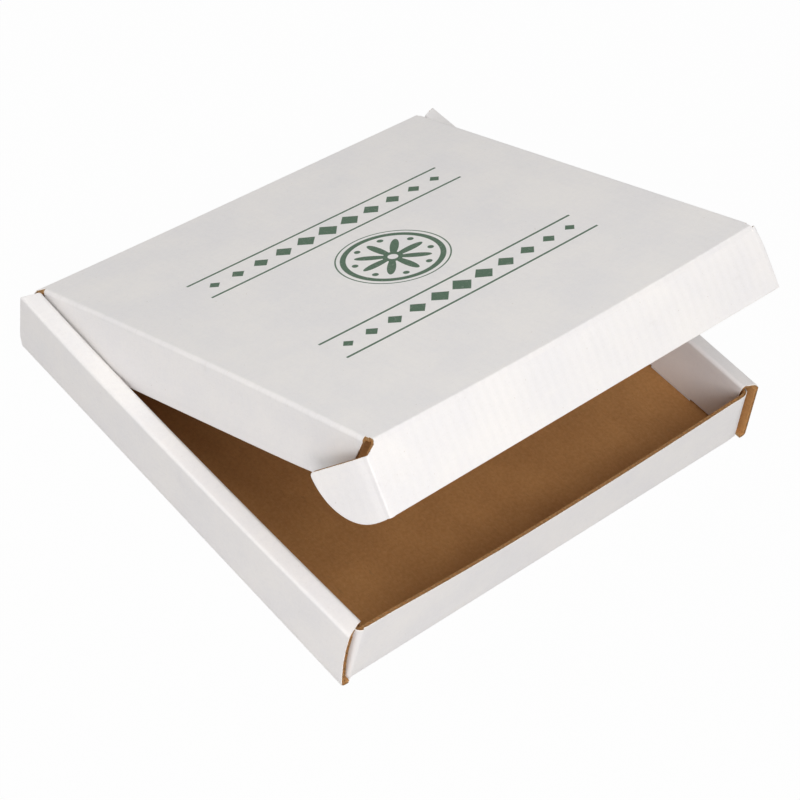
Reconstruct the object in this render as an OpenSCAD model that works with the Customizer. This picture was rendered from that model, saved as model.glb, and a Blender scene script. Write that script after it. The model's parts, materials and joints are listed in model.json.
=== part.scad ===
/* [Board] */
// Thickness of the corrugated board
board = 2.6; // [1.5:0.1:3.2]
// Outside radius of a fold, where the board is thick enough for it
fold_r = 2.2; // [0.6:0.1:2.6]

/* [Tray] */
// Width across the outer faces of the side walls
tray_w = 326; // [220:1:420]
// Length of the side walls, front to back
tray_d = 298; // [200:1:400]
// Height of the side walls at their inner crease
side_h = 43.5; // [36:0.5:70]
// How much lower the outer crease of a side wall lies than its inner crease
strip_fall = 2; // [0:0.1:3]
// Width of the strip on top of each side wall
strip_w = 10.1; // [10:0.1:16]
// How much lower the front wall is than the side walls' inner crease
front_drop = 3.5; // [1.5:0.1:8]
// How far the front wall's face lies behind the side walls' front edges
front_recess = 1.6; // [0.5:0.1:3]
// How far the back wall's face lies inside the side walls' back edges
back_recess = 1.5; // [0.5:0.1:3]
// How far each inner wall stops short of the side wall's front edge
inner_front_setback = 5.9; // [5.2:0.1:10]
// How far each inner wall stops short of the side wall's back edge
inner_back_setback = 5.3; // [5.2:0.1:10]

/* [Flaps hidden in the side walls] */
// Length of each corner flap
corner_flap_l = 92; // [40:1:95]
// How much lower the corner flaps are than the front wall
corner_flap_drop = 1.8; // [1.5:0.1:5]
// Length of each lock tab at the foot of an inner wall
tab_l = 34; // [15:1:50]
// Distance from the end of an inner wall to the middle of its lock tab
tab_inset = 48; // [30:1:70]

/* [Lid] */
// Gap between each side of the closed lid and the inner wall beside it
lid_side_gap = 5.9; // [5.4:0.1:10]
// Gap between the closed lid's front crease and the front wall
lid_front_gap = 6.3; // [5:0.1:12]
// Angle that the lid stands open
lid_angle = 23.3; // [0:0.1:90]

/* [Lid's side flaps] */
// Gap between the side flaps and the bottom when the lid is closed
side_flap_gap = 1.9; // [0.5:0.1:20]
// Angle at which the front ends of the side flaps slant back
side_flap_slant = 26; // [0:1:45]
// How far the side flaps start behind the front crease
side_flap_front = 5; // [4:0.5:12]
// How far the side flaps stop short of the hinge crease
side_flap_back = 3.6; // [3.4:0.1:12]
// Angle that the side flaps lean inward
side_lean = 2; // [0:0.5:20]

/* [Front flap] */
// Gap between the front flap and the bottom when the lid is closed
flap_gap = 1.1; // [0.5:0.1:5]
// Gap between each ear crease and the inner wall when the lid is closed
ear_gap = 2.6; // [2:0.1:3]
// Distance from the front crease down to the top of the ear creases
ear_top = 6.5; // [5:0.1:10]
// How far the front crease's ends lie inside the lid's side creases
crease_inset = 3; // [1:0.1:6]
// Angle that the front flap leans out from square to the lid
flap_angle = 22; // [-4:0.1:90]

/* [Ears of the front flap] */
// Length of the ears
ear_l = 39.5; // [25:0.5:60]
// Radius of the ears' lower corner
ear_r = 27.5; // [12:0.5:30]
// Radius of the ears' tip
ear_tip_r = 3; // [1:0.5:6]
// Straight stretch of the ears' ends between the tip and the lower corner
ear_end_flat = 0.6; // [0.2:0.1:3]
// Angle at which the upper edge of the ears slants
ear_slope = 4.6; // [0:0.1:8]
// Angle that the ears are folded back from the front flap
ear_angle = 76; // [0:1:90]

/* [Fits] */
// Gap between two layers of board that lie against each other
layer_gap = 0.3; // [0.2:0.05:0.5]
// Gap between the two sides of a crease that moves
crease_gap = 0.3; // [0.2:0.05:0.5]

/* [Hidden] */
$fn = 48;
half_board = board / 2;
// Outside radius of the folds, which the board's thickness limits
bend_r = min(fold_r, board);
// Distance from a crease's axis to the edge of the panel that turns on it
crease_start = half_board + crease_gap;
// Planes of the walls
side_x = tray_w / 2;
inner_x = side_x - strip_w;
corner_flap_x = inner_x + board + layer_gap;
wall_end_x = corner_flap_x + board - bend_r;
front_h = side_h - front_drop;
front_y = front_recess - tray_d / 2;
back_y = tray_d / 2 - back_recess;
corner_flap_h = front_h - corner_flap_drop;
// Lid and its flaps, which fit inside the walls
lid_w = 2 * (inner_x - lid_side_gap);
lid_d = back_y - front_y - board - lid_front_gap;
side_flap_h = side_h - board - side_flap_gap;
flap_h = side_h - board - flap_gap;
// Axis of the lid's hinge, in the middle of the back wall's board
hinge_y = back_y - half_board;
hinge_z = side_h - half_board;
// Distance from the hinge axis to the axis of the front crease
front_crease = lid_d - board;
// Axes of the ear creases and the side flaps' creases
ear_x = inner_x - ear_gap - half_board;
side_flap_x = lid_w / 2 - board;
// Room that a cutter needs past the face it cuts
past = 1;

// Half of the angle at corner p between its neighbours a and b
function half_angle(a, p, b) = acos((a - p) * (b - p) / (norm(a - p) * norm(b - p))) / 2;

// Point on the line from p to q where a rounding of radius r at corner p begins
function tangent_point(a, p, b, q, r) = p + (q - p) / norm(q - p) * r / tan(half_angle(a, p, b));

// Centre of a rounding of radius r at corner p
function round_centre(a, p, b, r) =
    let (u = (a - p) / norm(a - p), v = (b - p) / norm(b - p))
    p + (u + v) / norm(u + v) * r / sin(half_angle(a, p, b));

// The two points that stand for corner p once it is rounded
function rounded(a, p, b, r) = [tangent_point(a, p, b, a, r), tangent_point(a, p, b, b, r)];

// Height of the strip's upper face at a distance x from the middle of the tray
function strip_top(x) = side_h - strip_fall * (x - inner_x) / strip_w;

// Height of the strip's lower face there
function strip_under(x) = strip_top(x) - board / cos(atan(strip_fall / strip_w));

// Section of a side wall, from the bottom panel over the strip to where the inner wall begins
module side_section() {
    foot = [corner_flap_x + board, 0];
    bottom = [side_x, 0];
    outer = [side_x, side_h - strip_fall];
    inner = [inner_x, side_h];
    drop = [inner_x, strip_under(inner_x + board)];
    polygon(concat(
        [foot],
        rounded(foot, bottom, outer, bend_r),
        rounded(bottom, outer, inner, bend_r),
        rounded(outer, inner, drop, bend_r),
        [
            drop,
            [inner_x + board, strip_under(inner_x + board)],
            [side_x - board, strip_under(side_x - board)],
            [side_x - board, board],
            [foot[0], board]
        ]
    ));
    translate(round_centre(foot, bottom, outer, bend_r))
        circle(bend_r);
    translate(round_centre(bottom, outer, inner, bend_r))
        circle(bend_r);
    translate(round_centre(outer, inner, drop, bend_r))
        circle(bend_r);
}

// Plan of the piece cut off each end of a strip, so that it slants from the inner wall to the corner
module strip_end_cut(setback) {
    polygon([
        [inner_x - past, setback],
        [inner_x, setback],
        [side_x - board, 0],
        [side_x - board, -past],
        [inner_x - past, -past]
    ]);
}

// Inner wall with its lock tabs, which drop through the slots in the bottom
module inner_wall() {
    front_end = inner_front_setback - tray_d / 2;
    back_end = tray_d / 2 - inner_back_setback;
    foot_z = board + layer_gap;
    translate([inner_x, front_end, foot_z])
        cube([board, back_end - front_end, strip_under(inner_x + board) - foot_z]);
    for (middle = [front_end + tab_inset, back_end - tab_inset])
        translate([inner_x, middle - tab_l / 2, 0])
            cube([board, tab_l, foot_z + past]);
}

// Slots in the bottom that the lock tabs of one side stand in
module tab_slots() {
    front_end = inner_front_setback - tray_d / 2;
    back_end = tray_d / 2 - inner_back_setback;
    for (middle = [front_end + tab_inset, back_end - tab_inset])
        translate([inner_x - layer_gap, middle - tab_l / 2 - layer_gap, -past])
            cube([board + 2 * layer_gap, tab_l + 2 * layer_gap, board + 2 * past]);
}

// One side of the tray: outer wall, strip and inner wall
module side_wall() {
    difference() {
        rotate([90, 0, 0])
            linear_extrude(height = tray_d, center = true)
                side_section();
        translate([0, -tray_d / 2, board + past])
            linear_extrude(height = side_h)
                strip_end_cut(inner_front_setback);
        translate([0, tray_d / 2, board + past])
            mirror([0, 1, 0])
                linear_extrude(height = side_h)
                    strip_end_cut(inner_back_setback);
    }
    inner_wall();
}

// Section of the fold between the bottom and an end wall whose face lies at zero, with the wall's height
module end_section(height) {
    difference() {
        union() {
            translate([0, bend_r])
                square([board, height - bend_r]);
            translate([bend_r, 0])
                square([2 * board, board]);
            translate([bend_r, bend_r])
                circle(bend_r);
        }
        translate([board, board])
            square(height);
    }
}

// Plan of the right end of an end wall whose face lies at zero, with its corner flap
module corner_plan() {
    outer = corner_flap_x + board;
    difference() {
        union() {
            translate([wall_end_x - past, 0])
                square([past, board]);
            translate([wall_end_x, bend_r])
                circle(bend_r);
            translate([corner_flap_x, bend_r])
                square([board, corner_flap_l - bend_r]);
        }
        translate([wall_end_x - 2 * past, board])
            square([corner_flap_x - wall_end_x + 2 * past, corner_flap_l]);
        translate([outer, -past])
            square(corner_flap_l);
    }
}

// Both ends of an end wall, with the corner flaps that stand in the hollow side walls
module corner_flaps() {
    for (side = [0, 1])
        mirror([side, 0, 0])
            translate([0, 0, board + layer_gap])
                linear_extrude(height = corner_flap_h - board - layer_gap)
                    corner_plan();
}

// End wall with its bottom fold and corner flaps, its face at y zero and its inside towards +Y
module end_wall(height) {
    rotate([90, 0, 90])
        linear_extrude(height = 2 * wall_end_x, center = true)
            end_section(height);
    corner_flaps();
}

// Shoulders of the back wall, cut down beside the hinge to the height of the corner flaps
module shoulder_cuts() {
    crease_end = lid_w / 2 - board;
    for (side = [0, 1])
        mirror([side, 0, 0])
            rotate([90, 0, 0])
                linear_extrude(height = 4 * board, center = true)
                    polygon([
                        [crease_end, hinge_z],
                        [crease_end + board, hinge_z],
                        [wall_end_x + past, corner_flap_h],
                        [wall_end_x + past, side_h + past],
                        [crease_end, side_h + past]
                    ]);
}

// Tray: one sheet that makes the bottom, four walls, strips, inner walls and corner flaps
module tray() {
    color("whitesmoke") {
        difference() {
            translate([board - side_x, front_y + board, 0])
                cube([2 * (side_x - board), back_y - front_y - 2 * board, board]);
            for (side = [0, 1])
                mirror([side, 0, 0])
                    tab_slots();
        }
        for (side = [0, 1])
            mirror([side, 0, 0])
                side_wall();
        translate([0, front_y, 0])
            end_wall(front_h);
        difference() {
            union() {
                translate([0, back_y, 0])
                    mirror([0, 1, 0])
                        end_wall(hinge_z);
                translate([0, hinge_y, hinge_z])
                    rotate([0, 90, 0])
                        cylinder(r = half_board, h = 2 * side_flap_x, center = true);
            }
            translate([0, back_y, 0])
                shoulder_cuts();
        }
    }
}

// Places its children on the hinge axis, turned by the angle that the lid stands open
module on_lid() {
    translate([0, hinge_y, hinge_z])
        rotate([-lid_angle, 0, 0])
            children();
}

// Places its children on the front crease's axis, turned as the front flap leans
module on_front_flap() {
    on_lid()
        translate([0, -front_crease, 0])
            rotate([-flap_angle, 0, 0])
                children();
}

// Lid panel, with a round edge at the front crease and a rounded fold along each side
module lid() {
    crease_half = lid_w / 2 - crease_inset;
    color("gainsboro")
        on_lid() {
            translate([-side_flap_x, -front_crease, -half_board])
                cube([2 * side_flap_x, front_crease - crease_start, board]);
            translate([0, -front_crease, 0])
                rotate([0, 90, 0])
                    cylinder(r = half_board, h = 2 * crease_half, center = true);
            for (side = [-1, 1])
                intersection() {
                    translate([side * side_flap_x, -crease_start, -half_board])
                        rotate([90, 0, 0])
                            cylinder(r = board, h = front_crease - crease_start);
                    translate([side * (side_flap_x + board / 2) - board / 2, -front_crease, -half_board])
                        cube([board, front_crease, board]);
                }
        }
}

// Side flap on the right, with its crease's axis along the lid
module side_flap() {
    front_end = front_crease - side_flap_front + half_board;
    back_end = side_flap_back - half_board;
    slant = side_flap_h * tan(side_flap_slant);
    back_slant = side_flap_h * tan(side_lean);
    translate([side_flap_x, 0, -half_board])
        rotate([0, side_lean, 0])
            rotate([90, 0, 90])
                linear_extrude(height = board)
                    polygon([
                        [-back_end, -crease_gap],
                        [-front_end, -crease_gap],
                        [slant - front_end, board - side_flap_h],
                        [-back_end - back_slant, board - side_flap_h]
                    ]);
}

// Left side flap
module side_flap_left() {
    color("lightgray")
        on_lid()
            mirror([1, 0, 0])
                side_flap();
}

// Right side flap
module side_flap_right() {
    color("lightgray")
        on_lid()
            side_flap();
}

// Front flap, narrower at its crease and round along the ear creases
module front_flap() {
    crease_half = lid_w / 2 - crease_inset;
    top = half_board - ear_top;
    bottom = half_board - flap_h;
    color("white")
        on_front_flap() {
            rotate([90, 0, 0])
                linear_extrude(height = board, center = true)
                    polygon([
                        [-crease_half, -crease_start],
                        [crease_half, -crease_start],
                        [ear_x, top],
                        [ear_x, bottom],
                        [-ear_x, bottom],
                        [-ear_x, top]
                    ]);
            for (side = [-1, 1])
                translate([side * ear_x, 0, bottom])
                    cylinder(r = half_board, h = top - bottom);
        }
}

// Outline of an ear, from its crease's axis outward and down from the front crease's axis
module ear_outline() {
    top = half_board - ear_top;
    bottom = half_board - flap_h;
    tip_top = top - ear_l * tan(ear_slope);
    corner_r = min(ear_r, tip_top - ear_tip_r - ear_end_flat - bottom);
    centre = [ear_l - corner_r, bottom + corner_r];
    intersection() {
        union() {
            translate([crease_start, bottom])
                square([centre[0] - crease_start, top - bottom]);
            translate(centre)
                circle(corner_r, $fn = 96);
            translate(centre)
                square([corner_r, tip_top - ear_tip_r - centre[1]]);
            translate(centre)
                square([corner_r - ear_tip_r, top - centre[1]]);
            translate([ear_l - ear_tip_r, tip_top - ear_tip_r])
                circle(ear_tip_r);
        }
        polygon([
            [crease_start, bottom],
            [ear_l, bottom],
            [ear_l, tip_top],
            [crease_start, top - crease_start * tan(ear_slope)]
        ]);
    }
}

// Ear on the right, folded back from the front flap
module ear() {
    translate([ear_x, 0, 0])
        rotate([0, 0, ear_angle])
            rotate([90, 0, 0])
                linear_extrude(height = board, center = true)
                    ear_outline();
}

// Left ear of the front flap
module ear_left() {
    color("silver")
        on_front_flap()
            mirror([1, 0, 0])
                ear();
}

// Right ear of the front flap
module ear_right() {
    color("silver")
        on_front_flap()
            ear();
}

tray();
lid();
front_flap();
ear_left();
ear_right();
side_flap_left();
side_flap_right();
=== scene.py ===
import json
import math

import bmesh
import bpy
from mathutils import Matrix, Vector


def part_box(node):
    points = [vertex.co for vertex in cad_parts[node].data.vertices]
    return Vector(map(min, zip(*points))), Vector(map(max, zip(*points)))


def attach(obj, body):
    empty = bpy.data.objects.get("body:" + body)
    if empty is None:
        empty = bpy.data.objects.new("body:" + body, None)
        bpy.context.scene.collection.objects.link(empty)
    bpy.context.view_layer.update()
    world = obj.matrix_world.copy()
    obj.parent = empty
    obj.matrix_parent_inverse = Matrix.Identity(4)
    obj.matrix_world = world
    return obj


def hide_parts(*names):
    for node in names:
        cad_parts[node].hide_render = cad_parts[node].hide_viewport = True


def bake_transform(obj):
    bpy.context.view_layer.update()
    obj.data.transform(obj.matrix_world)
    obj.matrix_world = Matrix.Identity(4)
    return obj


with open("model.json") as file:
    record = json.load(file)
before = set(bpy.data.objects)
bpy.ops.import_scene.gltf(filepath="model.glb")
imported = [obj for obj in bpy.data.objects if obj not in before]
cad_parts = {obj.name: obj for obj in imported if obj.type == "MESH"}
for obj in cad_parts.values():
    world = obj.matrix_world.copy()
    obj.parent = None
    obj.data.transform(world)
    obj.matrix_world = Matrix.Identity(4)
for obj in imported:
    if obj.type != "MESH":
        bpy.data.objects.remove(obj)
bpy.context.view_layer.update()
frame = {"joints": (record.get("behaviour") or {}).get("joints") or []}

# Camera
# It stands at the box's left front corner, well above it, and is tipped a little to one side.
azimuth, elevation, tip = (math.radians(a) for a in (-51.44, 46.49, 13.38))
camera_distance = 1.3458
looks_at = Vector((-0.02015, -0.02763, 0.03))

backward = Vector((math.sin(azimuth) * math.cos(elevation), -math.cos(azimuth) * math.cos(elevation), math.sin(elevation)))
level = Vector((math.cos(azimuth), math.sin(azimuth), 0))
upright = backward.cross(level)
rightward = math.cos(tip) * level + math.sin(tip) * upright
camera_data = bpy.data.cameras.new("camera")
camera_data.lens = 103.78
camera_data.clip_start = 0.05
camera = bpy.data.objects.new("camera", camera_data)
camera.matrix_world = (
    Matrix.Translation(looks_at + camera_distance * backward)
    @ Matrix((rightward, backward.cross(rightward), backward)).transposed().to_4x4()
)
bpy.context.scene.collection.objects.link(camera)
bpy.context.scene.camera = camera
bpy.context.scene.view_settings.view_transform = "Standard"

# Studio
# A plain white table under three wide soft lamps: one at the front left, one high in front and a weak one high behind.
# The world fills in the rest. The table looks white and keeps a faint shadow of the box.
table_size = 8
table_albedo = 0.55
table_white_share = 0.975
fill_light = 0.43


class Signal:
    """A shader socket on which plain arithmetic adds Math nodes."""

    def __init__(self, tree, socket=None):
        self.tree = tree
        self.socket = socket

    def node(self, kind, settings=None, inputs=None, out=0):
        """Adds a node of that type with its settings and its sockets' values or links, and gives one of its outputs."""
        made = self.tree.nodes.new("ShaderNode" + kind)
        for key, value in (settings or {}).items():
            setattr(made, key, value)
        for key, value in (inputs or {}).items():
            if isinstance(value, Signal):
                self.tree.links.new(value.socket, made.inputs[key])
            else:
                made.inputs[key].default_value = value
        return Signal(self.tree, made.outputs[out]) if made.outputs else None

    def maths(self, operation, *values):
        return self.node("Math", {"operation": operation}, dict(enumerate(values)))

    def __add__(self, other):
        return self.maths("ADD", self, other)

    def __radd__(self, other):
        return self.maths("ADD", other, self)

    def __sub__(self, other):
        return self.maths("SUBTRACT", self, other)

    def __rsub__(self, other):
        return self.maths("SUBTRACT", other, self)

    def __mul__(self, other):
        return self.maths("MULTIPLY", self, other)

    def __rmul__(self, other):
        return self.maths("MULTIPLY", other, self)

    def __truediv__(self, other):
        return self.maths("DIVIDE", self, other)

    def sine(self):
        return self.maths("SINE", self)

    def size(self):
        return self.maths("ABSOLUTE", self)

    def least(self, other):
        return self.maths("MINIMUM", self, other)

    def most(self, other):
        return self.maths("MAXIMUM", self, other)

    def rise(self, low, high):
        """0 below low and 1 above high, with a smooth step between. It falls where low is above high."""
        settings = {"interpolation_type": "SMOOTHSTEP"}
        if low < high:
            return self.node("MapRange", settings, {0: self, 1: low, 2: high})
        return self.node("MapRange", settings, {0: self, 1: high, 2: low, 3: 1.0, 4: 0.0})

    def tint(self, colour, share):
        """This colour mixed with another by that share."""
        return self.node("Mix", {"data_type": "RGBA"}, {0: share, 6: self, 7: colour}, out=2)


def new_material(name):
    """A material with no nodes yet, and a signal to start its nodes from."""
    material = bpy.data.materials.new(name)
    material.use_nodes = True
    material.node_tree.nodes.clear()
    return material, Signal(material.node_tree)


def seen_directly(signal):
    """1 for what the camera sees directly, in gloss or through glass, else 0."""
    path = signal.node("LightPath").socket.node.outputs
    camera_ray, glossy_ray, clear_ray = (
        Signal(signal.tree, path[ray]) for ray in ("Is Camera Ray", "Is Glossy Ray", "Is Transmission Ray")
    )
    return camera_ray.most(glossy_ray).most(clear_ray)


table_paint, signal = new_material("white_table")
table_shade = signal.node("BsdfDiffuse", None, {"Color": (table_albedo, table_albedo, table_albedo, 1)})
table_glow = signal.node("Emission", None, {"Color": (1, 1, 1, 1), "Strength": 1.0})
signal.node("OutputMaterial", None, {
    0: signal.node("MixShader", None, {0: seen_directly(signal) * table_white_share, 1: table_shade, 2: table_glow}),
})
table_mesh = bpy.data.meshes.new("table")
half_table = table_size / 2
table_mesh.from_pydata(
    [(-half_table, -half_table, 0), (half_table, -half_table, 0), (half_table, half_table, 0), (-half_table, half_table, 0)],
    [], [(0, 1, 2, 3)],
)
table_mesh.materials.append(table_paint)
table = bpy.data.objects.new("table", table_mesh)
table.location.z = -0.0003
bpy.context.scene.collection.objects.link(table)

world = bpy.data.worlds.new("studio")
world.use_nodes = True
world.node_tree.nodes.clear()
bpy.context.scene.world = world
signal = Signal(world.node_tree)
backdrop = seen_directly(signal)
signal.node("OutputWorld", None, {
    0: signal.node("MixShader", None, {
        0: backdrop,
        1: signal.node("Background", None, {0: (1, 1, 1, 1), 1: fill_light}),
        2: signal.node("Background", None, {0: (1, 1, 1, 1), 1: 1.0}),
    }),
})


def soft_lamp(name, place, aim, size, watts, colour):
    """Adds a square area lamp that points at a spot."""
    data = bpy.data.lights.new(name, "AREA")
    data.size = size
    data.energy = watts
    data.color = colour
    lamp = bpy.data.objects.new(name, data)
    lamp.location = place
    lamp.rotation_euler = (Vector(aim) - Vector(place)).to_track_quat("-Z", "Y").to_euler()
    bpy.context.scene.collection.objects.link(lamp)


soft_lamp("top_lamp", (-0.35, -1.05, 1.78), (0, 0, 0.05), 1.4, 13.5, (1.0, 0.99, 0.98))
soft_lamp("front_left_lamp", (-1.82, -1.62, 1.27), (0, 0, 0.05), 1.2, 28, (1.0, 0.98, 0.995))
soft_lamp("back_lamp", (-0.7, 0.6, 2.0), (0, 0, 0.05), 1.4, 7.5, (1.0, 0.99, 0.985))

# Tray bottom
# One panel of single-wall corrugated board, white outside and brown inside. Its flutes run front to back.
# It is the middle of the one die-cut sheet that the whole box is folded from.
tray_low, tray_high = (1000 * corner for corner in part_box("tray"))
lid_hinge, front_crease, left_ear, right_ear, left_side, right_side = frame["joints"]
half_board = 1.3
board = 2 * half_board
fold_r = 2.2
inside_r = 0.3
slit = 0.3
wall_x = tray_high.x
inner_wall_x = wall_x - 10.1
corner_flap_out_x = inner_wall_x + 2 * board + slit
wall_end_x = corner_flap_out_x - fold_r
front_face_y = tray_low.y + 1.6
back_face_y = tray_high.y - 1.5
foot_run = 2 * board
inner_wall_front = tray_low.y + 5.9
inner_wall_back = tray_high.y - 5.3
inner_wall_foot = board + 0.9
tab_length = 34
tab_middles = (inner_wall_front + 48, inner_wall_back - 48)
flute_pitch = 6.4
flute_height = 0.78
flute_half_paper = 0.13
flute_recess = 0.12
liner = 0.36
core_depth = 0.9
paper_edge = 0.28


def srgb(red, green, blue):
    """A colour as a picture gives it, 0 to 255, turned into the light that a shader takes."""
    return tuple(((c / 255 + 0.055) / 1.055) ** 2.4 if c > 10 else c / 3295 for c in (red, green, blue)) + (1.0,)


white = srgb(242, 239, 236)
white_cool = srgb(235, 233, 233)
white_cut = srgb(244, 240, 234)
smudge_grey = srgb(196, 188, 178)
fibre_tan = srgb(176, 156, 130)
kraft = srgb(188, 137, 82)
kraft_dark = srgb(154, 107, 60)
kraft_pale = srgb(208, 163, 110)
core_brown = srgb(192, 154, 106)
core_dark = srgb(146, 110, 68)


def board_place(signal):
    """Place on the unfolded sheet in millimetres: across the flutes, along them, and both with a third number for grain."""
    place = signal.node("UVMap", {"uv_map": "sheet"})
    parts = signal.node("SeparateXYZ", None, {0: place}).socket.node.outputs
    across, along = Signal(signal.tree, parts[0]) * 100, Signal(signal.tree, parts[1]) * 100
    return across, along, signal.node("CombineXYZ", None, {0: across, 1: along, 2: 0.0})


def grain(place, scale, detail=3.0, stretch=(1, 1, 1)):
    """Soft random pattern whose lumps are about 1 / scale mm, stretched along the sheet's two directions."""
    spread = place.node("VectorMath", {"operation": "MULTIPLY"}, {0: place, 1: stretch})
    return place.node("TexNoise", None, {"Vector": spread, "Scale": scale, "Detail": detail, "Roughness": 0.55})


def finish_material(signal, colour, roughness, height, depth):
    """Ends a board's material: its colour, its roughness and a relief whose height is in millimetres."""
    relief = signal.node("Bump", None, {"Strength": 1.0, "Distance": depth, "Height": height})
    shader = signal.node("BsdfPrincipled", None, {
        "Base Color": colour, "Roughness": roughness, "Normal": relief, "IOR": 1.45,
    })
    signal.node("OutputMaterial", None, {0: shader})


def white_liner(name, mark=None):
    """Coated white face of the board: faint clouds, fibres and flutes, a few brown flecks, scuffs at worn places."""
    material, signal = new_material(name)
    across, along, place = board_place(signal)
    worn = signal.node("Attribute", {"attribute_name": "worn"}, None, out="Fac")
    clouds = grain(place, 0.022, 4.0)
    mottle = grain(place, 0.35, 4.0)
    fibres = grain(place, 1.4, 2.0, (1, 0.22, 1))
    flutes = (across * (2 * math.pi / flute_pitch)).sine()
    flecks = grain(place, 0.55, 1.0).rise(0.765, 0.80) * 0.35
    smudges = grain(place, 0.045, 5.0).rise(0.60, 0.80) * grain(place, 0.4, 3.0).rise(0.40, 0.65)
    colour = signal.node("Mix", {"data_type": "RGBA"}, {
        0: clouds.rise(0.3, 0.7) * 0.8 + mottle.rise(0.35, 0.65) * 0.2, 6: white, 7: white_cool,
    }, out=2)
    if mark:
        ink, share = mark(signal, across, along, mottle)
        colour = colour.tint(ink, share)
    colour = colour.tint(fibre_tan, flecks.least(1.0))
    colour = colour.tint(smudge_grey, smudges * 0.16 + worn * mottle.rise(0.45, 0.75) * 0.05)
    colour = colour.tint(smudge_grey, (fibres - 0.5).size() * 0.3 + grain(place, 0.9, 2.0).rise(0.55, 0.75) * 0.09)
    roughness = 0.5 + mottle * 0.12 + worn * 0.12
    height = flutes * 0.5 + mottle * 0.5 + fibres * 0.35 + worn * mottle * 0.8
    finish_material(signal, colour, roughness, height, 0.000045)
    return material


def kraft_liner(name):
    """Bare brown face of the board: fibres, darker specks and the flutes printed through as faint stripes."""
    material, signal = new_material(name)
    across, along, place = board_place(signal)
    clouds = grain(place, 0.03, 4.0)
    mottle = grain(place, 0.45, 5.0)
    fibres = grain(place, 1.6, 3.0, (1, 0.25, 1))
    specks = grain(place, 1.1, 1.0).rise(0.66, 0.74)
    flutes = (across * (2 * math.pi / flute_pitch)).sine()
    colour = signal.node("Mix", {"data_type": "RGBA"}, {
        0: clouds.rise(0.3, 0.7) * 0.35 + mottle.rise(0.3, 0.7) * 0.35, 6: kraft, 7: kraft_dark,
    }, out=2)
    colour = colour.tint(kraft_pale, fibres.rise(0.5, 0.75) * 0.3 + flutes.rise(0.2, 1.0) * 0.04)
    hairs = grain(place, 0.32, 4.0, (1, 0.3, 1)).rise(0.655, 0.70)
    colour = colour.tint(kraft_dark, (specks * 0.7 + (fibres - 0.5).size() * 0.8).least(1.0))
    colour = colour.tint(core_dark, hairs * 0.35)
    finish_material(signal, colour, 0.78 + mottle * 0.12, flutes * 0.6 + mottle * 0.6 + fibres * 0.5, 0.00005)
    return material


def raw_core(name):
    """Cut edge of the board between its two faces: torn brown fibres, darker further in."""
    material, signal = new_material(name)
    across, along, place = board_place(signal)
    mottle = grain(place, 0.9, 5.0)
    colour = signal.node("Mix", {"data_type": "RGBA"}, {0: mottle.rise(0.3, 0.7), 6: core_brown, 7: core_dark}, out=2)
    finish_material(signal, colour, 0.9, mottle, 0.0001)
    return material


def cut_paper(name):
    """Cut edge of the white face: a thin pale line of bare paper."""
    material, signal = new_material(name)
    across, along, place = board_place(signal)
    mottle = grain(place, 0.8, 4.0)
    colour = signal.node("Mix", {"data_type": "RGBA"}, {0: mottle.rise(0.45, 0.7) * 0.4, 6: white_cut, 7: fibre_tan}, out=2)
    finish_material(signal, colour, 0.7, mottle, 0.00004)
    return material


board_finishes = [white_liner("white_face"), kraft_liner("brown_face"), raw_core("fluted_core"), cut_paper("cut_paper")]
WHITE, BROWN, CORE, CUT = range(4)


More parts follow.
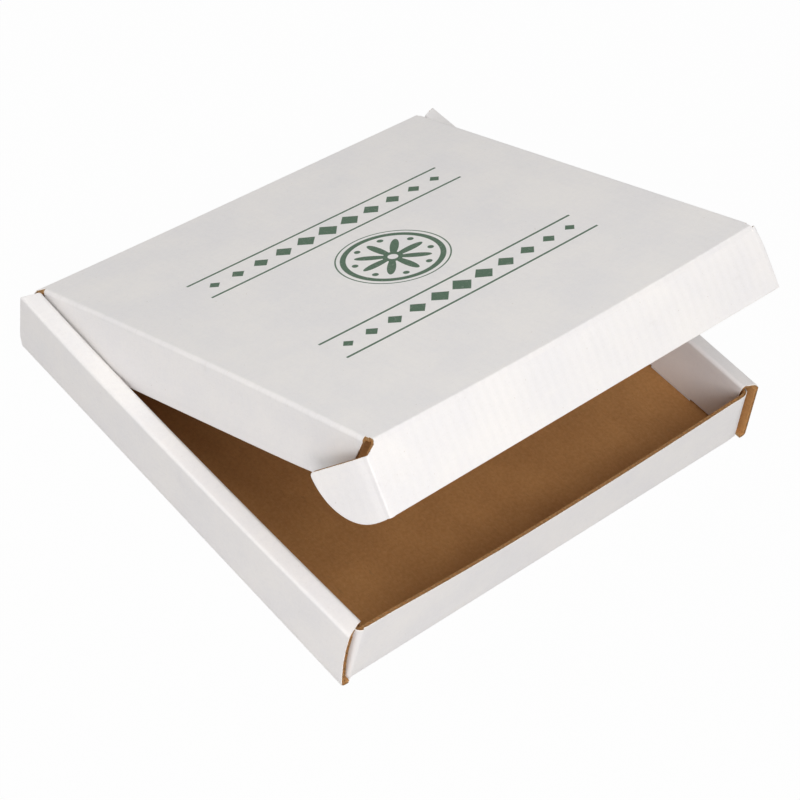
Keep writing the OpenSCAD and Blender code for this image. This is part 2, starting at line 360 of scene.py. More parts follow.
class Fold:
    """Section of folded board. Its white face runs through the given corners, each rounded, and the board lies on one
    side of it."""

    def __init__(self, corners, side, radius=fold_r):
        self.faces = [self.face([Vector(c) for c in corners], side, depth, radius) for depth in (0.0, board)]
        self.marks = [0.0]
        for kind, first, second, *_ in self.faces[0]:
            length = (second - first).length if kind == "straight" else radius * abs(_[1] - _[0])
            self.marks.append(self.marks[-1] + length)
        self.length = self.marks[-1]

    def face(self, corners, side, depth, radius):
        """Straights and arcs of the face that lies that deep in the board."""
        runs = [(b - a).normalized() for a, b in zip(corners, corners[1:])]
        inward = [side * Vector((-run.y, run.x)) for run in runs]
        moved = [corners[0] + depth * inward[0]]
        for before, after, corner in zip(inward, inward[1:], corners[1:]):
            moved.append(corner + depth * (before + after) / (1 + before.dot(after)))
        moved.append(corners[-1] + depth * inward[-1])
        bend = max(radius - depth, inside_r)
        parts, here = [], moved[0]
        for i, corner in enumerate(moved[1:-1]):
            turn = math.atan2(runs[i].cross(runs[i + 1]), runs[i].dot(runs[i + 1]))
            short = bend * math.tan(abs(turn) / 2)
            entry, leave = corner - short * runs[i], corner + short * runs[i + 1]
            centre = entry + bend * inward[i]
            start = math.atan2(-inward[i].y, -inward[i].x)
            parts.append(("straight", here, entry))
            parts.append(("arc", centre, Vector((bend, 0)), start, start + turn))
            here = leave
        parts.append(("straight", here, moved[-1]))
        return parts

    def stations(self, step, bend_steps=7):
        """Distances along the white face at which the board gets a line of points."""
        found = [0.0]
        for (kind, *_), low, high in zip(self.faces[0], self.marks, self.marks[1:]):
            if high - low > 1e-6:
                count = bend_steps if kind == "arc" else max(1, round((high - low) / step))
                found += [low + (high - low) * (i + 1) / count for i in range(count)]
        return found

    def at(self, s, depth):
        """Point of the section that far along and that deep. Past its ends it runs on straight."""
        part = max(i for i in range(len(self.marks) - 1) if i == 0 or self.marks[i] <= s + 1e-9)
        while part and self.marks[part + 1] - self.marks[part] < 1e-6:
            part -= 1
        low, high = self.marks[part], self.marks[part + 1]
        share = (s - low) / (high - low) if high > low else 0.0
        points = []
        for kind, first, second, *angles in (face[part] for face in self.faces):
            if kind == "straight":
                points.append(first + share * (second - first))
            else:
                angle = angles[0] + share * (angles[1] - angles[0])
                points.append(first + second.x * Vector((math.cos(angle), math.sin(angle))))
        return points[0].lerp(points[1], depth / board)

    def bent(self, s):
        """1 on a fold, else 0."""
        return float(any(
            kind == "arc" and low - 0.3 <= s <= high + 0.3
            for (kind, *_), low, high in zip(self.faces[0], self.marks, self.marks[1:])
        ))


def steady(value):
    """A limit that is the same all along the board."""
    return lambda s: value


def through(*points):
    """A limit that runs through the given (distance along, value) points."""
    def limit(s):
        for (a, low), (b, high) in zip(points, points[1:]):
            if s <= b:
                return low + (high - low) * max(0.0, (s - a) / (b - a)) if b > a else high
        return points[-1][1]
    return limit


def shares(count):
    """Even shares from 0 to 1."""
    return [i / count for i in range(count + 1)]


# Profile of a cut edge, from the white face to the brown one: how deep in the board, how far in from the edge,
# and the finish of the band that follows.
cut_edge = (
    (0.0, paper_edge, CUT), (paper_edge, 0.0, CUT), (liner, 0.0, CORE), (liner, core_depth, CORE),
    (board - liner, core_depth, CORE), (board - liner, 0.0, BROWN), (board - paper_edge, 0.0, BROWN), (board, paper_edge, BROWN),
)


class Sheet:
    """Mesh of one folded stretch of board, made up of two faces, its cut edges and the flutes that show in them."""

    def __init__(self, fold, start, end, place, across="v", stations=None, rows=None, joined=(), holes=(), origin=(0, 0)):
        self.fold, self.place, self.across, self.origin = fold, place, across, origin
        self.mesh = bmesh.new()
        self.sheet_uv = self.mesh.loops.layers.uv.new("sheet")
        self.worn = self.mesh.verts.layers.float.new("worn")
        self.spots = {}
        stations = stations or fold.stations(8.0)
        rows = rows or shares(36)
        self.grid = [[(s, start(s) + (end(s) - start(s)) * share) for share in rows] for s in stations]
        self.holes = holes
        self.edge_cells(joined)
        white_grid, brown_grid = self.face(0), self.face(len(cut_edge) - 1)
        self.edges(white_grid, brown_grid)
        self.hole_walls(white_grid, brown_grid)
        self.flutes()
        bmesh.ops.recalc_face_normals(self.mesh, faces=self.mesh.faces)

    def edge_cells(self, joined):
        """The loop of grid places round the board, with the way in from each and which stretches are cut."""
        wide, long = len(self.grid), len(self.grid[0])
        self.loop = [(i, 0) for i in range(wide - 1)] + [(wide - 1, j) for j in range(long - 1)]
        self.loop += [(i, long - 1) for i in range(wide - 1, 0, -1)] + [(0, j) for j in range(long - 1, 0, -1)]
        names = ["start"] * (wide - 1) + ["last"] * (long - 1) + ["end"] * (wide - 1) + ["first"] * (long - 1)
        spots = [Vector(self.grid[i][j]) for i, j in self.loop]
        count = len(spots)
        self.cut = []
        for k, name in enumerate(names):
            middle = (spots[k] + spots[(k + 1) % count]) / 2
            run = middle[0 if name in ("start", "end") else 1]
            self.cut.append(not any(part == name or part[0] == name and part[1] < run < part[2] for part in joined))
        ways = []
        for k in range(count):
            run = spots[(k + 1) % count] - spots[k]
            ways.append(Vector((-run.y, run.x)).normalized() if run.length > 1e-9 else ways[-1] if ways else Vector((0, 1)))
        self.inward = {}
        for k, cell in enumerate(self.loop):
            before, after = ways[k - 1], ways[k]
            cut_before, cut_after = float(self.cut[k - 1]), float(self.cut[k])
            turn = before.cross(after)
            if abs(turn) < 0.02:
                self.inward[cell] = (before + after).normalized() * max(cut_before, cut_after)
            else:
                self.inward[cell] = Vector((
                    (cut_before * after.y - cut_after * before.y) / turn,
                    (cut_after * before.x - cut_before * after.x) / turn,
                ))
                if self.inward[cell].length > 2:
                    self.inward[cell].normalize()

    def spot(self, s, v, depth):
        """Adds a point of the board and keeps its place on the flat sheet."""
        vert = self.mesh.verts.new(self.place(s, v, depth) / 1000)
        vert[self.worn] = self.fold.bent(s) * 0.6
        self.spots[vert] = (s + self.origin[0], v + self.origin[1])
        return vert

    def skin(self, corners, finish):
        """Adds a face through those points, with their places on the flat sheet."""
        corners = list(dict.fromkeys(corners))
        if len(corners) < 3:
            return
        face = self.mesh.faces.new(corners)
        face.material_index = finish
        face.smooth = True
        for loop in face.loops:
            s, v = self.spots[loop.vert]
            loop[self.sheet_uv].uv = (v / 100, s / 100) if self.across == "v" else (s / 100, v / 100)

    def face(self, level):
        """One of the two faces of the board, as a grid of points."""
        depth, inset, finish = cut_edge[level]
        finish = WHITE if level == 0 else BROWN
        points = [[None] * len(line) for line in self.grid]
        for i, line in enumerate(self.grid):
            for j, (s, v) in enumerate(line):
                way = self.inward.get((i, j))
                if way:
                    s, v = s + inset * way.x, v + inset * way.y
                points[i][j] = self.spot(s, v, depth)
        for i in range(len(points) - 1):
            for j in range(len(points[0]) - 1):
                if not self.in_hole(i, j):
                    self.skin([points[i][j], points[i + 1][j], points[i + 1][j + 1], points[i][j + 1]], finish)
        return points

    def in_hole(self, i, j):
        if not (0 <= i < len(self.grid) - 1 and 0 <= j < len(self.grid[0]) - 1):
            return False
        s = (self.grid[i][j][0] + self.grid[i + 1][j][0]) / 2
        v = (self.grid[i][j][1] + self.grid[i][j + 1][1]) / 2
        return any(low[0] < s < high[0] and low[1] < v < high[1] for low, high in self.holes)

    def edges(self, white_grid, brown_grid):
        """The bands of the cut edge all round the board."""
        rings = [[white_grid[i][j] for i, j in self.loop]]
        for depth, inset, finish in cut_edge[1:-1]:
            ring = []
            for i, j in self.loop:
                s, v = self.grid[i][j]
                way = self.inward[(i, j)]
                ring.append(self.spot(s + inset * way.x, v + inset * way.y, depth))
            rings.append(ring)
        rings.append([brown_grid[i][j] for i, j in self.loop])
        count = len(self.loop)
        for (depth, inset, finish), outer, inner in zip(cut_edge, rings, rings[1:]):
            for k in range(count):
                after = (k + 1) % count
                self.skin([outer[k], outer[after], inner[after], inner[k]], finish)

    def hole_walls(self, white_grid, brown_grid):
        """The walls of each slot through the board."""
        for i in range(len(self.grid) - 1):
            for j in range(len(self.grid[0]) - 1):
                if self.in_hole(i, j):
                    around = (((i, j), (i + 1, j), (i, j - 1)), ((i + 1, j), (i + 1, j + 1), (i + 1, j)),
                              ((i + 1, j + 1), (i, j + 1), (i, j + 1)), ((i, j + 1), (i, j), (i - 1, j)))
                    for (a, b), (c, d), beyond in around:
                        if not self.in_hole(*beyond):
                            self.skin([white_grid[a][b], white_grid[c][d], brown_grid[c][d], brown_grid[a][b]], CORE)

    def flutes(self):
        """The wavy middle paper of the board, as it shows between its faces along every cut edge."""
        count = len(self.loop)
        starts = [k for k in range(count) if self.cut[k] and not self.cut[k - 1]] or ([0] if all(self.cut) else [])
        for first in starts:
            k, line = first, []
            while self.cut[k % count] and k < first + count:
                line.append(k % count)
                k += 1
            line.append(k % count)
            self.flute_strip(line)

    def flute_strip(self, line):
        """The wavy paper along one unbroken stretch of cut edge."""
        samples = []
        for k, after in zip(line, line[1:]):
            low, high = (Vector(self.grid[i][j]) for i, j in (self.loop[k], self.loop[after]))
            low_way, high_way = self.inward[self.loop[k]], self.inward[self.loop[after]]
            crossed = abs((high - low)[1 if self.across == "v" else 0])
            steps = max(1, round(crossed / 0.8))
            samples += [(low.lerp(high, n / steps), low_way.lerp(high_way, n / steps)) for n in range(steps)]
        samples.append((high, high_way))
        rings = []
        for spot, way in samples:
            phase = 2 * math.pi * (spot[1] + self.origin[1] if self.across == "v" else spot[0] + self.origin[0]) / flute_pitch
            middle = half_board + flute_height * math.sin(phase)
            ring = []
            for inset, paper in ((flute_recess, -1), (flute_recess, 1), (core_depth + 0.1, 1), (core_depth + 0.1, -1)):
                ring.append(self.spot(spot.x + inset * way.x, spot.y + inset * way.y, middle + paper * flute_half_paper))
            rings.append(ring)
        for before, after in zip(rings, rings[1:]):
            for n in range(4):
                self.skin([before[n], before[(n + 1) % 4], after[(n + 1) % 4], after[n]], BROWN)
        self.skin(rings[0], BROWN)
        self.skin(rings[-1], BROWN)


def add_piece(name, meshes, body=None, finishes=board_finishes, crisp=35):
    """Joins those meshes into one piece in the scene, smooth but for its corners, which rides on a body."""
    data = bpy.data.meshes.new(name)
    joined = bmesh.new()
    for mesh in meshes:
        part = bpy.data.meshes.new("part")
        mesh.to_mesh(part)
        joined.from_mesh(part)
        bpy.data.meshes.remove(part)
        mesh.free()
    joined.to_mesh(data)
    joined.free()
    for finish in finishes:
        data.materials.append(finish)
    data.set_sharp_from_angle(angle=math.radians(crisp))
    piece = bpy.data.objects.new(name, data)
    bpy.context.scene.collection.objects.link(piece)
    if body:
        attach(piece, body)
    return piece


def sprung(x, y, z):
    """Where a point of the tray lies. The folded board doesn't stand square: the side walls' creases stand out at the
    top, their feet stand out in front and in behind, and the front wall's foot stands forward, more on the right."""
    side = min(1.0, max(0.0, (abs(x) - inner_wall_x) / (wall_x - inner_wall_x)))
    height = min(1.0, max(0.0, z / tray_high.z))
    turn = foot_turn_right if x > 0 else foot_turn_left
    outward = side * (height * crease_out + (1 - height) * turn * (foot_middle - y / tray_high.y))
    near_front = min(1.0, max(0.0, (front_face_y + 20 - y) / 20))
    forward = near_front * (1 - height) * (foot_forward + foot_forward_right * x / wall_x)
    return Vector((x + outward * (1 if x > 0 else -1), y - forward, z))


def bottom_place(s, v, depth):
    """Places the flat bottom: its section runs from left to right, and v is front to back."""
    point = bottom_fold.at(s, depth)
    return sprung(point.x, v, point.y)


crease_out = 0.9
foot_turn_left = 1.7
foot_turn_right = 0.7
foot_middle = -0.1
foot_forward = 0.7
foot_forward_right = 0.45


slot_edges = (inner_wall_x - slit, inner_wall_x + board + slit)
slot_ends = [middle + sign * (tab_length / 2 + slit) for middle in tab_middles for sign in (-1, 1)]
bottom_half = corner_flap_out_x
bottom_front, bottom_back = front_face_y + foot_run, back_face_y - foot_run
slots = [
    ((bottom_half + min(side * x for x in slot_edges), low), (bottom_half + max(side * x for x in slot_edges), high))
    for side in (-1, 1) for low, high in (slot_ends[:2], slot_ends[2:])
]


def even_with(marks, low, high, step):
    """Places from low to high about a step apart, with the given marks among them."""
    found = [low]
    for mark in sorted(marks) + [high]:
        count = max(1, round((mark - found[-1]) / step))
        base = found[-1]
        found += [base + (mark - base) * (i + 1) / count for i in range(count)]
    return found


bottom_stations = even_with([bottom_half + side * x for side in (-1, 1) for x in slot_edges], 0.0, 2 * bottom_half, 12.0)
bottom_rows = [
    (y - bottom_front) / (bottom_back - bottom_front) for y in even_with(slot_ends, bottom_front, bottom_back, 12.0)
]
bottom_fold = Fold([(-bottom_half, 0), (bottom_half, 0)], 1)
bottom = Sheet(
    bottom_fold, steady(bottom_front), steady(bottom_back), bottom_place,
    across="s", stations=bottom_stations, rows=bottom_rows, joined=("first", "last", "start", "end"), holes=slots,
    origin=(-bottom_half, 0),
)

# Front and back walls
# Panels of the same sheet, folded up from the bottom. The front wall bows out a little in the middle.
# The back wall's top is the crease that the lid hinges on, and its shoulders are cut down beside that crease.
front_top_z = tray_high.z - 3.5
corner_flap_top_z = front_top_z - 1.8
hinge = 1000 * Vector(lid_hinge["pos_m"])
lid_along = Vector(left_side["axis"])
lid_out = Vector((0, lid_along.z, -lid_along.y))
hinge_reach = 2.0
shoulder_x = 147
front_bow = 1.3
front_sag = 0.5
corner_start_x = 136
corner_flap_length = 92
wide_corner_r = {-1: 4.0, 1: 9.5}
corner_low_share = {-1: 0.0, 1: 0.25}
front_rise_left = 3.2
corner_lean_left = 1.6


def corner_folds(radius):
    """Section, seen from above, of a wall's end with its corner flap. It starts at corner_start_x."""
    return Fold([(corner_start_x, 0), (corner_flap_out_x, 0), (corner_flap_out_x, corner_flap_length)], 1, radius)


tight_corner = corner_folds(fold_r)
wide_corner = {side: corner_folds(radius) for side, radius in wide_corner_r.items()}


def corner_shape(side, s, depth, height):
    """How much wider than tight a front corner bends at a height. The board springs open towards its top."""
    share = corner_low_share[side] + (1 - corner_low_share[side]) * min(1.0, max(0.0, height / front_top_z)) ** 1.2
    return share * (wide_corner[side].at(s, depth) - tight_corner.at(s, depth))


def front_rise(v):
    """How much higher than square the front wall's top lies at a place along it: it rises towards its left end."""
    return front_rise_left * max(0.0, (-v - 40) / 110) ** 1.5


def front_place(s, v, depth):
    point = front_fold.at(s, depth)
    side = 1 if v > 0 else -1
    spread = corner_shape(side, max(0.0, abs(v) - corner_start_x), depth, point.y)
    share = max(0.0, 1 - (v / corner_start_x) ** 2) * (max(0.0, point.y) / front_top_z) ** 1.5
    height = max(0.0, point.y) / front_top_z
    lean = corner_lean_left * min(1.0, max(0.0, (-v - 96) / 40)) * height
    return sprung(
        v + side * spread.x + lean, point.x + spread.y - front_bow * share, point.y - front_sag * share + front_rise(v) * height,
    )


def back_place(s, v, depth):
    point = back_fold.at(s, depth)
    return sprung(v, point.x, point.y)


front_fold = Fold([(bottom_front, 0), (front_face_y, 0), (front_face_y, front_top_z)], -1)
front_rows = even_with([-corner_start_x], -wall_end_x, 0, 1.8)[:-1]
front_rows = [x for x in front_rows if x <= -corner_start_x] + even_with([], -corner_start_x, corner_start_x, 8)[1:]
front_rows += [-x for x in front_rows[::-1] if x < -corner_start_x]
front_wall = Sheet(
    front_fold, steady(-wall_end_x), steady(wall_end_x), front_place, joined=("first", "start", "end"),
    rows=[(x + wall_end_x) / (2 * wall_end_x) for x in front_rows], stations=front_fold.stations(5.0),
)
back_fold = Fold([(bottom_back, 0), (back_face_y, 0), (back_face_y, hinge.z - hinge_reach)], 1)
shoulder_s = back_fold.length - (hinge.z - hinge_reach - corner_flap_top_z)
back_wall = Sheet(
    back_fold,
    through((0, -wall_end_x), (shoulder_s, -wall_end_x), (back_fold.length, -shoulder_x - 6)),
    through((0, wall_end_x), (shoulder_s, wall_end_x), (back_fold.length, shoulder_x + 3.2)),
    back_place, joined=("first", "last"), rows=shares(48), stations=back_fold.stations(4.0),
)
base = add_piece("bottom_and_end_walls", [bottom.mesh, front_wall.mesh, back_wall.mesh], "tray")
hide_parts("tray")

# Corner flaps
# Ears of the front and back walls, folded round the corners and trapped between the two layers of the side walls.
# Only their folds and front ends show, in the hollow at each end of a side wall.
flap_low_z = 0.3


def corner_flap(side, face_y, way):
    """One corner flap: it starts where its wall's flat part ends, and v is its height."""
    start_s = wall_end_x - corner_start_x

    def place(s, v, depth):
        point = tight_corner.at(s + start_s, depth)
        lean = 0
        if way > 0:
            point += corner_shape(side, s + start_s, depth, v)
            lean = corner_lean_left * (side < 0) * max(0.0, 1 - s / 12) * v / front_top_z
            v += front_rise(side * wall_end_x) * max(0.0, 1 - s / 25) * v / front_top_z
        return sprung(side * point.x + lean, face_y + way * point.y, v)

    fold_s = tight_corner.marks[2] - start_s
    length = tight_corner.length - start_s
    stations = [fold_s * n / 7 for n in range(7)] + even_with([fold_s + 12], fold_s, length, 12.0)[:1]
    stations += even_with([], fold_s, fold_s + 12, 2.0)[1:] + even_with([], fold_s + 12, length, 14.0)[1:]
    flap = Sheet(
        tight_corner, through((0, flap_low_z), (fold_s, flap_low_z), (fold_s + 3.5, inner_wall_foot), (length, inner_wall_foot)),
        steady(corner_flap_top_z), place, across="s", stations=stations, rows=shares(12), joined=("first",),
    )
    return flap.mesh


corner_flaps = add_piece(
    "corner_flaps",
    [corner_flap(side, face_y, way) for side in (-1, 1) for face_y, way in ((front_face_y, 1), (back_face_y, -1))],
    "tray",
)

# Side walls
# Each is rolled over in one strip of the sheet: outer wall, narrow top and inner wall, with a hollow between.
# Two lock tabs at the foot of the inner wall stand in slots of the bottom, and nothing is glued.
outer_crease_z = tray_high.z - 2
side_bow = 1.5
crease_in = 1.2
back_rise_left = 1.6
wall_top = tray_high.z


def side_wall(side, wall_line, strip_line):
    """One rolled side wall with its lock tabs: its section is seen from the front, and v is front to back."""
    fold = Fold(
        [(bottom_half, 0), (wall_x, 0), (wall_x, outer_crease_z), (inner_wall_x, wall_top), (inner_wall_x, inner_wall_foot)], 1,
    )
    outer_s = wall_x - bottom_half + outer_crease_z - 2
    inner_s = fold.length - (wall_top - inner_wall_foot) + 2

    def on_section(section):
        def place(s, v, depth):
            point = section.at(s, depth)
            height = max(0.0, point.y) / wall_top
            bow = side_bow * max(0.0, 1 - (v / tray_high.y) ** 2) * height ** 1.3
            inward = crease_in * max(0.0, (wall_x - point.x) / (wall_x - inner_wall_x)) * height ** 4
            rise = back_rise_left * (side < 0) * max(0.0, (v - 70) / 79) ** 2 * height
            return sprung(side * (point.x + bow - inward), v, point.y + rise)
        return place

    front = through(
        *[(share * outer_s, y) for share, y in wall_line],
        *[(outer_s + share * (inner_s - outer_s), y) for share, y in strip_line],
        (inner_s + 5, inner_wall_front + 1.2), (fold.length, inner_wall_front),
    )
    back = through(
        (0, tray_high.y - 4.0), (5, tray_high.y - 1.0), (12, tray_high.y + 1.2), (outer_s, tray_high.y + 0.2),
        (outer_s + 0.4 * (inner_s - outer_s), tray_high.y - 2.6), (inner_s, tray_high.y - 4.6), (inner_s + 4, inner_wall_back),
    )
    wall = Sheet(
        fold, front, back, on_section(fold), across="s", stations=fold.stations(5.0), rows=shares(44), joined=("first",),
    )
    meshes = [wall.mesh]
    tab_fold = Fold([(inner_wall_x, inner_wall_foot), (inner_wall_x, 0.25)], 1)
    for middle in tab_middles:
        meshes.append(Sheet(
            tab_fold, steady(middle - tab_length / 2), steady(middle + tab_length / 2), on_section(tab_fold),
            across="s", rows=shares(6), stations=[0, 1.3, tab_fold.length], joined=("first",),
        ).mesh)
    return meshes


left_wall_line = ((0, -149.0), (0.1, -148.7), (0.25, -147.4), (0.5, -146.0), (0.75, -145.6), (1, -146.0))
left_strip_line = ((0.15, -145.4), (0.6, -143.0), (1, -141.8))
right_wall_line = ((0, -149.3), (0.15, -149.3), (1, -146.9))
right_strip_line = ((0.15, -145.2), (0.35, -144.0), (0.5, -143.1), (1, -142.9))
add_piece("left_side_wall", side_wall(-1, left_wall_line, left_strip_line), "tray")
add_piece("right_side_wall", side_wall(1, right_wall_line, right_strip_line), "tray")

# Lid
# The top panel of the sheet, which carries a green print. It sags a little between its sides.
# It hinges on a crease at the top of the back wall and stands partly open.
crease_half = 142.4
crease_right = 147.6
side_crease_x = 144.4
crease_axis = 1000 * Vector(front_crease["pos_m"])
lid_length = (crease_axis - hinge).length
lid_end = lid_length - hinge_reach
print_green = srgb(38, 82, 52)
lid_sag = 1.5
lid_push = 0.9
lid_arch = 0.9
crease_draw_middle = 1.0
crease_draw_right = 0.7
splay_right = 2.7
splay_left_back = 3.4
splay_left_behind = 0.8
splay_left_front = 1.4
print_middle = 140.0
petal_count = 8
petal_r = 13.5
petal_reach = 9.0
heart_r = 4.6
stud_ring_r = 23.0
stud_r = 1.9
ring_r = 29.0
thin_ring_r = 33.4
row_out = 58.0
row_half = 93.0
diamond_step = 17.0
diamond_size = 7.6
diamond_shrink = 0.045
rule_out = 11.5


def crease_shape(x):
    """How far the lid's front crease is pushed out and down at a place along it."""
    share = max(0.0, 1 - (x / crease_half) ** 2)
    return share * (lid_push * lid_along - lid_sag * lid_out)


def crease_draw(x):
    """How far the front crease lies behind its true line, more on the right than on the left."""
    return -(crease_draw_middle + crease_draw_right * x / crease_half) * lid_along


def lid_splay(x, a):
    """How far the lid's panel spreads sideways: along its right side evenly, along its left side only near the hinge."""
    share = min(1.0, max(0.0, a / lid_length))
    if x > 0:
        return Vector((x / side_crease_x * splay_right, 0, 0))
    left = -x / side_crease_x
    spread = left * (splay_left_front * share - splay_left_back * (1 - share) ** 2)
    return Vector((spread, splay_left_behind * left ** 3 * (1 - share) ** 6, 0))


def lid_bend(x, a):
    """How far the lid is bent out of flat at a place."""
    share = min(1.0, max(0.0, a / lid_length))
    arch = lid_arch * math.sin(math.pi * share) * max(0.0, (side_crease_x - x) / (2 * side_crease_x)) ** 2
    return crease_shape(x) * share ** 2 + crease_draw(x) * share ** 3 + arch * lid_out


def lid_place(s, v, depth):
    point = lid_fold.at(s, depth)
    bend = lid_bend(v, point.x) + lid_splay(v, point.x)
    return hinge + point.x * lid_along + point.y * lid_out + Vector((v, 0, 0)) + bend


def lid_print(signal, across, along, mottle):
    """The print's ink and where it lies: a rosette in two rings between two rows of diamonds with thin rules."""
    x, y = across, along - print_middle
    radius = (x * x + y * y).maths("SQRT", x * x + y * y)
    angle = y.maths("ARCTAN2", y, x)
    petals = radius - petal_r - petal_reach * (petal_count * angle).maths("COSINE", petal_count * angle)
    heart = (radius - heart_r).size() - 1.5
    rings = ((radius - ring_r).size() - 1.7).least((radius - thin_ring_r).size() - 0.45)
    turn = (angle * (4 / math.pi)).maths("FRACT", angle * (4 / math.pi)) - 0.5
    off_ring = turn * turn * 300 + (radius - stud_ring_r) * (radius - stud_ring_r)
    studs = off_ring.maths("SQRT", off_ring) - stud_r
    rosette = petals.most(heart_r + 0.6 - radius).least(heart).least(rings).least(studs)
    row = y.size() - row_out
    step = ((x / diamond_step + 0.5).maths("FRACT", x / diamond_step + 0.5) - 0.5) * diamond_step
    diamonds = (step.size() + row.size() - (diamond_size - x.size() * diamond_shrink)).most(x.size() - row_half)
    rules = ((row.size() - rule_out).size() - 0.8).most(x.size() - (row_half + 3))
    ink = rosette.least(diamonds).least(rules).rise(0.15, -0.15)
    return print_green, ink * (0.97 - mottle.rise(0.55, 0.75) * 0.12)


class Crease:
    """Mesh of the bent board along a crease that moves: white paper round the outside, crushed core, brown paper inside."""

    def __init__(self, axis, along, outs, runs, reaches, radius, start, end, rows=24, across="v", origin=(0, 0)):
        self.axis, self.along, self.across, self.origin = axis, along, across, origin
        self.outs, self.runs, self.reaches, self.radius = outs, runs, reaches, radius
        self.start, self.end, self.rows = start, end, rows
        self.turn = math.atan2(outs[0].cross(outs[1]).length, outs[0].dot(outs[1]))
        self.mesh = bmesh.new()
        self.sheet_uv = self.mesh.loops.layers.uv.new("sheet")
        self.worn = self.mesh.verts.layers.float.new("worn")
        self.layer(0.0, liner, 0.0, (WHITE, CUT, CUT))
        self.layer(liner, board - liner, 0.5, (CORE, CORE, CORE))
        self.layer(board - liner, board, 0.0, (BROWN, BROWN, BROWN))
        bmesh.ops.remove_doubles(self.mesh, verts=self.mesh.verts, dist=1e-7)
        bmesh.ops.recalc_face_normals(self.mesh, faces=self.mesh.faces)

    def section(self, depth, steps=12):
        """Points of one layer's face across the crease, each with its distance from the axis along the board."""
        radius = self.radius - depth
        swing = [
            (math.sin((1 - n / steps) * self.turn) * self.outs[0] + math.sin(n / steps * self.turn) * self.outs[1])
            / math.sin(self.turn)
            for n in range(steps + 1)
        ]
        if radius < 0.05:
            corner = radius * (self.outs[0] + self.outs[1]) / (1 + self.outs[0].dot(self.outs[1]))
            bend = [(0.0, corner)] * (steps + 1)
        else:
            bend = [((n / steps - 0.5) * 0.4, radius * way) for n, way in enumerate(swing)]
        return (
            [(-self.reaches[0], radius * self.outs[0] - self.reaches[0] * self.runs[0])] + bend
            + [(self.reaches[1], radius * self.outs[1] + self.reaches[1] * self.runs[1])]
        )

    def layer(self, low, high, recess, finishes):
        """A closed strip of the board between two depths: its outer face, its ends and its inner face."""
        outer, inner = self.section(low), self.section(high)
        outline = outer + inner[::-1]
        bands = [finishes[0]] * (len(outer) - 1) + [finishes[1]] + [finishes[2]] * (len(inner) - 1) + [finishes[1]]
        rings = []
        for n in range(self.rows + 1):
            ring = []
            for t, offset in outline:
                first, last = self.start(t) + recess, self.end(t) - recess
                v = first + (last - first) * n / self.rows
                vert = self.mesh.verts.new((self.axis + offset + v * self.along) / 1000)
                vert[self.worn] = 1.0 if abs(t) < 1.4 else 0.3
                ring.append((vert, t + self.origin[0], v + self.origin[1]))
            rings.append(ring)
        count = len(outline)
        for before, after in zip(rings, rings[1:]):
            for n, finish in enumerate(bands):
                self.skin([before[n], before[(n + 1) % count], after[(n + 1) % count], after[n]], finish)
        half = len(outer)
        for ring in (rings[0], rings[-1]):
            for n in range(half - 1):
                self.skin([ring[n], ring[n + 1], ring[count - 2 - n], ring[count - 1 - n]], finishes[1])

    def skin(self, corners, finish):
        """Adds a face, with its corners' places on the flat sheet."""
        face = self.mesh.faces.new([vert for vert, s, v in corners])
        face.material_index = finish
        face.smooth = True
        for loop, (vert, s, v) in zip(face.loops, corners):
            loop[self.sheet_uv].uv = (v / 100, s / 100) if self.across == "v" else (s / 100, v / 100)

    def add(self, name, parent, child, shape=None, finishes=board_finishes):
        """Adds the crease between two bodies as a piece of its own, then bows it as its panels are bowed. The two
        bodies are not used, so it rides on neither of them.
        """
        piece = add_piece(name, [self.mesh], finishes=finishes)
        ends = [(self.axis + self.radius * out) / 1000 for out in self.outs]
        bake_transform(piece)
        if shape:
            for vert in piece.data.vertices:
                v = (1000 * vert.co - self.axis).dot(self.along)
                vert.co += shape(v) / 1000
        return piece


printed = [white_liner("printed_face", lid_print)] + board_finishes[1:]
lid_fold = Fold([(hinge_reach, half_board), (lid_end, half_board)], -1)
lid_panel = Sheet(
    lid_fold, steady(-side_crease_x), steady(side_crease_x), lid_place, across="v",
    stations=lid_fold.stations(9.0), rows=shares(32), joined=("first", "last", "start", "end"), origin=(hinge_reach, 0),
)
lid = add_piece("lid_panel", [lid_panel.mesh], "lid", printed)
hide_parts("lid")
Crease(
    hinge, Vector((1, 0, 0)), (Vector((0, 1, 0)), lid_out), (Vector((0, 0, 1)), lid_along), (hinge_reach, hinge_reach),
    half_board, through((-2, -side_crease_x - 7), (0, -side_crease_x - 5), (1.6, -side_crease_x)), steady(side_crease_x),
).add("lid_crease", "tray", "lid", lambda v: lid_splay(v, 0))

# Front flap
# The lid's tuck flap, which is pushed down behind the front wall to close the box. It leans out a little.
# Its upper corners are cut away beside the ears' creases.
flap_up = Vector(right_ear["axis"])
flap_out = Vector((0, -flap_up.z, flap_up.y))
flap_end = 38.1
flap_drop_left = 1.5
flap_spread_right = 1.1
flap_tuck_right = 0.2
ear_crease_x = 1000 * right_ear["pos_m"][0]
ear_crease_top = {-1: 5.2, 1: 0.4}
flap_cut_start = 1.6
flap_cut_slope = (ear_crease_top[-1] - flap_cut_start) / (ear_crease_x - crease_half)
flap_reach = 2.0


def flap_left(s):
    """Where the flap ends on the left, that far below the crease."""
    return -min(ear_crease_x - flap_reach, crease_half + max(0.0, s - flap_cut_start) / flap_cut_slope)


def flap_right(s):
    """Where the flap ends on the right. That corner is hardly cut away."""
    return min(ear_crease_x - flap_reach, crease_right) - flap_tuck_right * (0 < s < flap_reach + 0.001) * s / flap_reach


